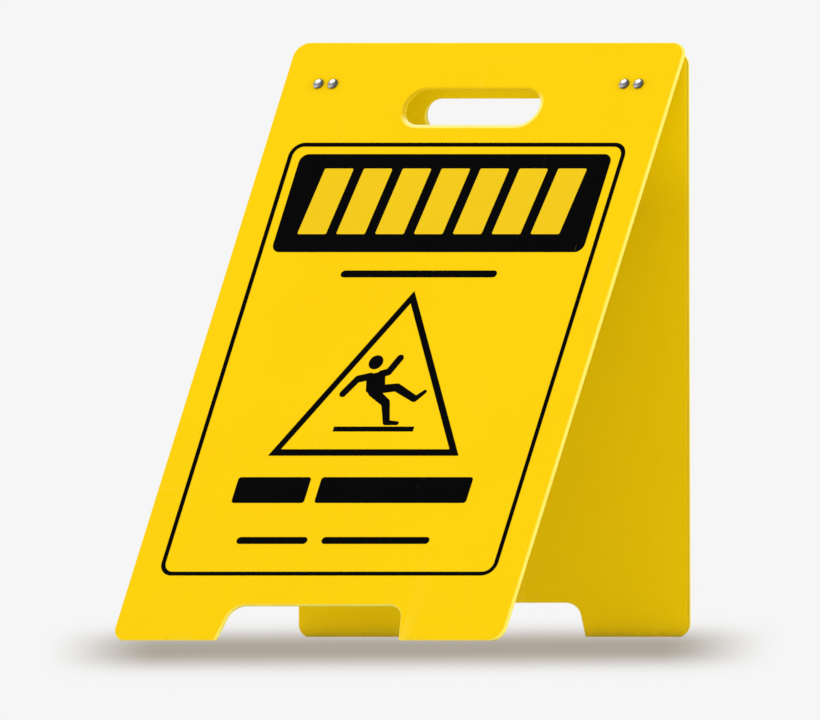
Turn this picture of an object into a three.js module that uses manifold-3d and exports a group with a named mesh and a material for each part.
// Folding A-frame floor sign: two flat plastic panels, joined near their top edges by two small steel
// butt hinges that sit in the gap between them. Two semi-tubular rivets hold each hinge leaf, with domed
// heads on the panel's outer face and rolled tails on the leaf.
// The panels share one outline below the hinge. The front one stands a little higher above it, so it
// covers the joint, and each hand hole is set from its own panel's top edge.
// The sign stands open, with the rear panel's top edge against the front panel's inner face as a stop.
//
// Frame, in millimetres: +Z up, Z = 0 is the floor, X runs along the width, Y is the depth.
// The front panel is on the -Y side. The origin is on the floor, in the middle of the footprint.
//
// Each half is built in its own frame: the pin's axis is X, and the sheet hangs straight down on the
// -Y side, so -Y is outwards.
import * as THREE from "three";
import { mergeVertices } from "three/addons/utils/BufferGeometryUtils.js";
import Module from "manifold-3d";

const wasm = await Module();
wasm.setup();
const { Manifold, Mesh: SolidMesh } = wasm;

const QUARTER_TURN = Math.PI / 2;

// ---------------------------------------------------------------- driving dimensions
const PANEL_W = 305;
const PANEL_L = 468; // front panel's outer face, top edge to foot
const FRONT_RISE = 7; // front panel's top edge above the rear one's, along the sheet
const PANEL_T = 5;
const PANEL_CORNER_R = 11; // the four outer corners
const EDGE_R = 1.5; // eased edge all round the sheet
const HALF_ANGLE = THREE.MathUtils.degToRad(17.5); // lean of each panel from vertical

const HOLE_W = 104.5; // hand hole, a stadium in the middle of the width
const HOLE_H = 28;
const HOLE_DROP = 50.3; // hand hole centre below the panel's own top edge

const CUT_H = 27.9; // height of the cut-out between the feet
const FOOT_W = 80.5; // width of a foot at the floor
const CUT_SLOPE = 0.21; // the cut-out's sides lean in by this much per millimetre of height
const CUT_TOP_R = 12;
const FOOT_INNER_R = 2.5;

const HINGE_X = 119.5; // hinge centre from the middle of the sign
const HINGE_LEN = 27; // along the pin
const KNUCKLES = 5;
const KNUCKLE_GAP = 0.3;
const KNUCKLE_R = 2.75;
const BORE_R = 1.56;
const NOTCH_CLEARANCE = 0.55; // between a knuckle and the bottom of the other leaf's notch
const LEAF_T = 1.2;
const LEAF_GAP = 0.1; // between a leaf and the panel it lies on
const LEAF_CORNER_R = 2.5; // the two lower corners
const LEAF_BELOW_RIVETS = 6.4; // rivet centres to the leaf's lower end

const PIN_R = 1.5;
const PIN_END_PLAY = 0.15; // between the hinge's end and the pin's head
const PIN_HEAD_R = 2.35;
const PIN_HEAD_H = 1;
const PIN_HEAD_RIM = 0.3; // straight side below the dome

const PIVOT_GAP = KNUCKLE_R + LEAF_GAP; // pin axis to the inner face of each panel
const STOP_CLEARANCE = 0.2; // between the rear panel's top edge and the front panel

const RIVET_DROP = 32.8; // rivet centres below the front panel's top edge
const RIVET_PITCH = 11.2; // the two rivets of a leaf, side by side
const RIVET_SHANK_R = 1.95;
const RIVET_HOLE_R = 2.05;
const RIVET_HEAD_R = 3.9;
const RIVET_HEAD_H = 2.3;
const RIVET_HEAD_RIM = 0.45; // height of the edge below the dome
const RIVET_HEAD_TUCK = 0.15; // the edge draws in by this much at the underside
const RIVET_SEAT = 0.06; // gap under the head and under the rolled tail
const RIVET_TAIL_R = 3.05;
// Rolled tail and its dimple: [inset from RIVET_TAIL_R, height above the tail's seat].
const RIVET_TAIL = [
  [0.25, 0],
  [0, 0.3],
  [0.25, 0.72],
  [0.85, 0.95],
  [1.45, 0.72],
  [1.7, -0.5],
  [RIVET_TAIL_R, -1.1],
];

// ---------------------------------------------------------------- derived, in a half's frame
// The pin's distance below the rear panel's top edge, along the panel, that leaves STOP_CLEARANCE
// between the eased edge and the front panel's inner face.
const PIVOT_DROP =
  EDGE_R +
  ((EDGE_R + PIVOT_GAP) * Math.cos(2 * HALF_ANGLE) + PIVOT_GAP - EDGE_R - STOP_CLEARANCE) /
    Math.sin(2 * HALF_ANGLE);
const TOP_Z = { front: PIVOT_DROP + FRONT_RISE, rear: PIVOT_DROP };
const FOOT_Z = TOP_Z.front - PANEL_L; // foot of the outer face
const OUTER_FACE_Y = -PIVOT_GAP - PANEL_T;
const LEAF_INNER_Y = -PIVOT_GAP + LEAF_GAP + LEAF_T; // leaf's face away from its panel
const RIVET_Z = TOP_Z.front - RIVET_DROP;
const LEAF_END_Z = RIVET_Z - LEAF_BELOW_RIVETS;
const KNUCKLE_LEN = (HINGE_LEN - (KNUCKLES - 1) * KNUCKLE_GAP) / KNUCKLES;

// Height of the pin above the floor when open.
const PIN_HEIGHT = -FOOT_Z * Math.cos(HALF_ANGLE) + OUTER_FACE_Y * Math.sin(HALF_ANGLE);

// ---------------------------------------------------------------- helpers
const move = (x, y, z) => new THREE.Matrix4().makeTranslation(x, y, z);
const turnX = (angle) => new THREE.Matrix4().makeRotationX(angle);
const turnZ = (angle) => new THREE.Matrix4().makeRotationZ(angle);

// A closed three.js geometry as a solid, placed by the matrices in turn.
function solid(geometry, ...matrices) {
  geometry.deleteAttribute("normal");
  geometry.deleteAttribute("uv");
  for (const matrix of matrices) geometry.applyMatrix4(matrix);
  const merged = mergeVertices(geometry, 1e-4);
  return new Manifold(
    new SolidMesh({
      numProp: 3,
      vertProperties: new Float32Array(merged.attributes.position.array),
      triVerts: new Uint32Array(merged.index.array),
    }),
  );
}

// A solid back as a flat-shaded three.js geometry.
function geometryOf(body) {
  const { vertProperties, triVerts } = body.getMesh();
  const indexed = new THREE.BufferGeometry();
  const positions = new THREE.BufferAttribute(new Float32Array(vertProperties), 3);
  indexed.setAttribute("position", positions);
  indexed.setIndex(new THREE.BufferAttribute(new Uint32Array(triVerts), 1));
  const flat = indexed.toNonIndexed();
  flat.computeVertexNormals();
  return flat;
}

// A solid of revolution about Y from [radius, y] points.
function turned(profile, segments, ...matrices) {
  const points = profile.map(([radius, y]) => new THREE.Vector2(radius, y));
  return solid(new THREE.LatheGeometry(points, segments), ...matrices);
}

// Profile of a domed head that rises towards -Y from its underside, from the pole to the dome's edge.
function domeProfile({ radius, height, rim, underside, steps }) {
  const points = [];
  for (let k = 0; k <= steps; k++) {
    const angle = (k / steps) * QUARTER_TURN;
    points.push([
      radius * Math.sin(angle),
      underside - rim - (height - rim) * Math.cos(angle),
    ]);
  }
  return points;
}

// A closed outline of [x, y, radius] corners, each replaced by an arc tangent to its two sides, or left
// square where the radius is 0.
function roundedOutline(corners, stepsPerQuarter) {
  const count = corners.length;
  const cornerAt = (i) => new THREE.Vector2(...corners[i % count].slice(0, 2));
  return corners.flatMap(([, , radius], i) => {
    const corner = cornerAt(i);
    if (!radius) return [corner];
    const toPrevious = cornerAt(i + count - 1).sub(corner).normalize();
    const toNext = cornerAt(i + 1).sub(corner).normalize();
    const halfAngle = Math.acos(THREE.MathUtils.clamp(toPrevious.dot(toNext), -1, 1)) / 2;
    const tangentLength = radius / Math.tan(halfAngle);
    const centre = toPrevious
      .clone()
      .add(toNext)
      .normalize()
      .multiplyScalar(radius / Math.sin(halfAngle))
      .add(corner);
    const from = toPrevious.multiplyScalar(tangentLength).add(corner).sub(centre);
    const to = toNext.multiplyScalar(tangentLength).add(corner).sub(centre);
    const sweep = Math.atan2(from.cross(to), from.dot(to));
    const steps = Math.max(2, Math.round((Math.abs(sweep) / QUARTER_TURN) * stepsPerQuarter));
    const arc = [];
    for (let k = 0; k <= steps; k++) {
      const spoke = from.clone().rotateAround(new THREE.Vector2(), (sweep * k) / steps);
      arc.push(spoke.add(centre));
    }
    return arc;
  });
}

// ---------------------------------------------------------------- panel
function handHole(centreY) {
  const endR = HOLE_H / 2;
  const endX = HOLE_W / 2 - endR;
  const hole = new THREE.Path();
  hole.absarc(endX, centreY, endR, -QUARTER_TURN, QUARTER_TURN, false);
  hole.absarc(-endX, centreY, endR, QUARTER_TURN, 3 * QUARTER_TURN, false);
  hole.closePath();
  return hole;
}

// Drawn flat: x across, y up the sheet with the pin's height at 0.
function panelShape(topY) {
  const side = PANEL_W / 2;
  const footInner = side - FOOT_W;
  const cutTopX = footInner - CUT_SLOPE * CUT_H;
  const cutTopY = FOOT_Z + CUT_H;
  const outline = roundedOutline(
    [
      [-side, FOOT_Z, PANEL_CORNER_R],
      [-footInner, FOOT_Z, FOOT_INNER_R],
      [-cutTopX, cutTopY, CUT_TOP_R],
      [cutTopX, cutTopY, CUT_TOP_R],
      [footInner, FOOT_Z, FOOT_INNER_R],
      [side, FOOT_Z, PANEL_CORNER_R],
      [side, topY, PANEL_CORNER_R],
      [-side, topY, PANEL_CORNER_R],
    ],
    7,
  );
  const shape = new THREE.Shape(outline);
  shape.holes.push(handHole(topY - HOLE_DROP));
  return shape;
}

function rivetDrill(x) {
  const length = PANEL_T + 8; // runs past both faces
  return solid(
    new THREE.CylinderGeometry(RIVET_HOLE_R, RIVET_HOLE_R, length, 20),
    move(x, -PIVOT_GAP - PANEL_T / 2, RIVET_Z),
  );
}

// Everything below the floor when the sign is open.
function belowFloor() {
  const depth = 20;
  return solid(
    new THREE.BoxGeometry(PANEL_W + 40, 60, depth),
    move(0, 0, -depth / 2),
    turnX(HALF_ANGLE),
    move(0, OUTER_FACE_Y, FOOT_Z),
  );
}

function panelSolid(topZ) {
  const sheet = new THREE.ExtrudeGeometry(panelShape(topZ), {
    depth: PANEL_T - 2 * EDGE_R,
    steps: 1,
    bevelEnabled: true,
    bevelThickness: EDGE_R,
    bevelSize: EDGE_R,
    bevelOffset: -EDGE_R,
    bevelSegments: 3,
    curveSegments: 9,
  });
  // Stood upright: the drawing's y becomes Z, and its depth becomes -Y.
  let panel = solid(sheet, move(0, 0, EDGE_R), turnX(QUARTER_TURN), move(0, -PIVOT_GAP, 0));
  for (const side of [-1, 1]) {
    for (const k of [-0.5, 0.5]) {
      panel = panel.subtract(rivetDrill(side * HINGE_X + k * RIVET_PITCH));
    }
  }
  // The feet are mitred to sit flat on the floor.
  return panel.subtract(belowFloor());
}

// ---------------------------------------------------------------- hinge
// A cylinder along the pin's axis.
function pinwiseCylinder(radius, length, x) {
  return solid(
    new THREE.CylinderGeometry(radius, radius, length, 28),
    turnZ(QUARTER_TURN),
    move(x, 0, 0),
  );
}

function leafPlate() {
  const side = HINGE_LEN / 2;
  const outline = roundedOutline(
    [
      [-side, LEAF_END_Z, LEAF_CORNER_R],
      [side, LEAF_END_Z, LEAF_CORNER_R],
      [side, 0, 0],
      [-side, 0, 0],
    ],
    5,
  );
  const shape = new THREE.Shape(outline);
  for (const k of [-0.5, 0.5]) {
    const hole = new THREE.Path();
    hole.absarc(k * RIVET_PITCH, RIVET_Z, RIVET_HOLE_R, 0, Math.PI * 2, true);
    shape.holes.push(hole);
  }
  const plate = new THREE.ExtrudeGeometry(shape, {
    depth: LEAF_T,
    bevelEnabled: false,
    curveSegments: 10,
  });
  return solid(plate, turnX(QUARTER_TURN), move(0, LEAF_INNER_Y, 0));
}

// A square notch that makes room for the other leaf's knuckle.
function knuckleNotch(x) {
  const depth = KNUCKLE_R + NOTCH_CLEARANCE;
  const above = 12; // runs well past the top of the plate
  return solid(
    new THREE.BoxGeometry(KNUCKLE_LEN + 2 * KNUCKLE_GAP, 12, depth + above),
    move(x, 0, (above - depth) / 2),
  );
}

// A plate with two rivet holes, whose top end carries every second knuckle, counted from firstKnuckle.
function leafSolid(firstKnuckle) {
  let leaf = leafPlate();
  for (let i = 0; i < KNUCKLES; i++) {
    const x = -HINGE_LEN / 2 + i * (KNUCKLE_LEN + KNUCKLE_GAP) + KNUCKLE_LEN / 2;
    leaf =
      i % 2 === firstKnuckle
        ? leaf.add(pinwiseCylinder(KNUCKLE_R, KNUCKLE_LEN, x))
        : leaf.subtract(knuckleNotch(x));
  }
  return leaf.subtract(pinwiseCylinder(BORE_R, HINGE_LEN + 10, 0));
}

// The pin, with a low domed head at each end.
function pinSolid() {
  const headUnderside = -HINGE_LEN / 2 - PIN_END_PLAY;
  const firstHalf = [
    ...domeProfile({
      radius: PIN_HEAD_R,
      height: PIN_HEAD_H,
      rim: PIN_HEAD_RIM,
      underside: headUnderside,
      steps: 4,
    }),
    [PIN_HEAD_R, headUnderside],
    [PIN_R, headUnderside],
  ];
  const secondHalf = firstHalf.map(([radius, y]) => [radius, -y]).reverse();
  return turned([...firstHalf, ...secondHalf], 24, turnZ(QUARTER_TURN));
}

// A set rivet along Y: domed head outside the panel, shank, and a tail rolled over on the leaf.
function rivetSolid() {
  const headUnderside = OUTER_FACE_Y - RIVET_SEAT;
  const tailSeat = LEAF_INNER_Y + RIVET_SEAT;
  const profile = [
    ...domeProfile({
      radius: RIVET_HEAD_R,
      height: RIVET_HEAD_H,
      rim: RIVET_HEAD_RIM,
      underside: headUnderside,
      steps: 6,
    }),
    [RIVET_HEAD_R - RIVET_HEAD_TUCK, headUnderside],
    [RIVET_SHANK_R, headUnderside],
    [RIVET_SHANK_R, tailSeat],
    ...RIVET_TAIL.map(([inset, height]) => [RIVET_TAIL_R - inset, tailSeat + height]),
  ];
  return turned(profile, 22);
}

// ---------------------------------------------------------------- materials
const material = (color, roughness, metalness) =>
  new THREE.MeshStandardMaterial({ color, roughness, metalness });
const yellowPlastic = () => material(0xfdd302, 0.45, 0);
const zinc = () => material(0xb8bcc0, 0.38, 1);
const steel = () => material(0xc9c9c7, 0.2, 1);

// ---------------------------------------------------------------- assembly
const PANEL = {
  front: geometryOf(panelSolid(TOP_Z.front)),
  rear: geometryOf(panelSolid(TOP_Z.rear)),
};
const LEAF = {
  front: geometryOf(leafSolid(0)), // three knuckles
  rear: geometryOf(leafSolid(1)), // two knuckles
};
const PIN = geometryOf(pinSolid());
const RIVET = geometryOf(rivetSolid());

function addMesh(parent, name, geometry, meshMaterial, x = 0, z = 0) {
  const mesh = new THREE.Mesh(geometry, meshMaterial);
  mesh.name = name;
  mesh.position.set(x, 0, z);
  parent.add(mesh);
}

// One panel with its leaves and rivets, leaned about the pin. The front half also carries the pins, and
// the rear half is turned half a turn about the vertical after leaning.
function signHalf(which) {
  const isRear = which === "rear";
  const half = new THREE.Group();
  half.position.z = PIN_HEIGHT;
  half.rotation.order = "ZYX";
  half.rotation.x = -HALF_ANGLE;
  if (isRear) half.rotation.z = Math.PI;

  addMesh(half, `${which}_panel`, PANEL[which], yellowPlastic());
  // Left and right are as seen from the front, with -X on the left.
  for (const side of ["left", "right"]) {
    const outward = (side === "left" ? -1 : 1) * (isRear ? -1 : 1); // away from the middle, along x
    const x = outward * HINGE_X;
    addMesh(half, `${side}_hinge_${which}_leaf`, LEAF[which], zinc(), x);
    if (!isRear) addMesh(half, `${side}_hinge_pin`, PIN, steel(), x);
    for (const [place, k] of [["outer", 0.5], ["inner", -0.5]]) {
      const rivetX = x + outward * k * RIVET_PITCH;
      addMesh(half, `${which}_${side}_${place}_rivet`, RIVET, steel(), rivetX, RIVET_Z);
    }
  }
  return half;
}

const sign = new THREE.Group();
sign.add(signHalf("front"), signHalf("rear"));

export default sign;
